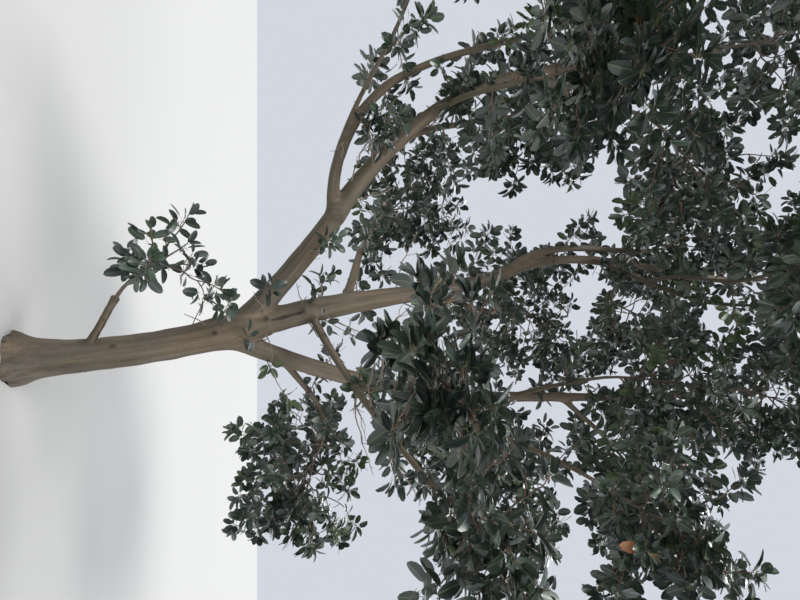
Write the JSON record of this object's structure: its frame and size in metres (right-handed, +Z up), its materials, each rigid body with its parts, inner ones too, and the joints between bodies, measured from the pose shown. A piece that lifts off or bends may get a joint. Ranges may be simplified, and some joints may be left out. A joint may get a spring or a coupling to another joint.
{
  "type": "greek strawberry tree",
  "caption": "Rooted evergreen broadleaf tree with a smooth leaning trunk, sinuous upturned boughs and an open rounded crown of glossy leaves.",
  "frame": {"origin": "middle of the flat cut under the trunk, at ground level", "axes": "+Z up along the tree's height; +X to the right and +Y away, seen from the front"},
  "size_m": [4.7523, 5.1632, 7.4127],
  "materials": {
    "bark": "smooth grey-brown and tan bark with long streaks, matt to satin",
    "foliage": "glossy leathery dark green leaves with pale stalks and midribs, on grey-brown twigs"
  },
  "bodies": {
    "root": {"trunk": "bark", "left_bough": "bark", "left_rising_limb": "bark", "left_upright_limb": "bark", "left_side_limb": "bark", "left_outer_limb": "bark", "left_twin_limb": "bark", "left_front_limb": "bark", "centre_bough": "bark", "centre_left_arm": "bark", "centre_right_arm": "bark", "front_top_limb": "bark", "back_left_limb": "bark", "back_limb": "bark", "right_bough": "bark", "right_upright_limb": "bark", "right_side_limb": "bark", "right_near_limb": "bark", "right_top_limb": "bark", "right_low_limb": "bark", "back_right_limb": "bark", "front_limb": "bark", "front_side_limb": "bark", "left_low_limb": "bark", "left_inner_limb": "bark", "front_high_limb": "bark", "back_top_limb": "bark", "right_inner_limb": "bark", "low_stub": "bark", "left_crown_foliage": "foliage", "left_outer_foliage": "foliage", "left_front_foliage": "foliage", "left_back_foliage": "foliage", "back_left_foliage": "foliage", "centre_left_foliage": "foliage", "centre_crown_foliage": "foliage", "front_crown_foliage": "foliage", "back_foliage": "foliage", "back_right_foliage": "foliage", "right_crown_foliage": "foliage", "right_top_foliage": "foliage", "right_side_foliage": "foliage", "right_near_foliage": "foliage", "right_low_foliage": "foliage", "right_front_foliage": "foliage", "centre_front_foliage": "foliage", "left_low_foliage": "foliage", "left_inner_foliage": "foliage", "front_high_foliage": "foliage", "back_top_foliage": "foliage", "low_shoot_foliage": "foliage", "right_inner_foliage": "foliage"}
  },
  "joints": []
}
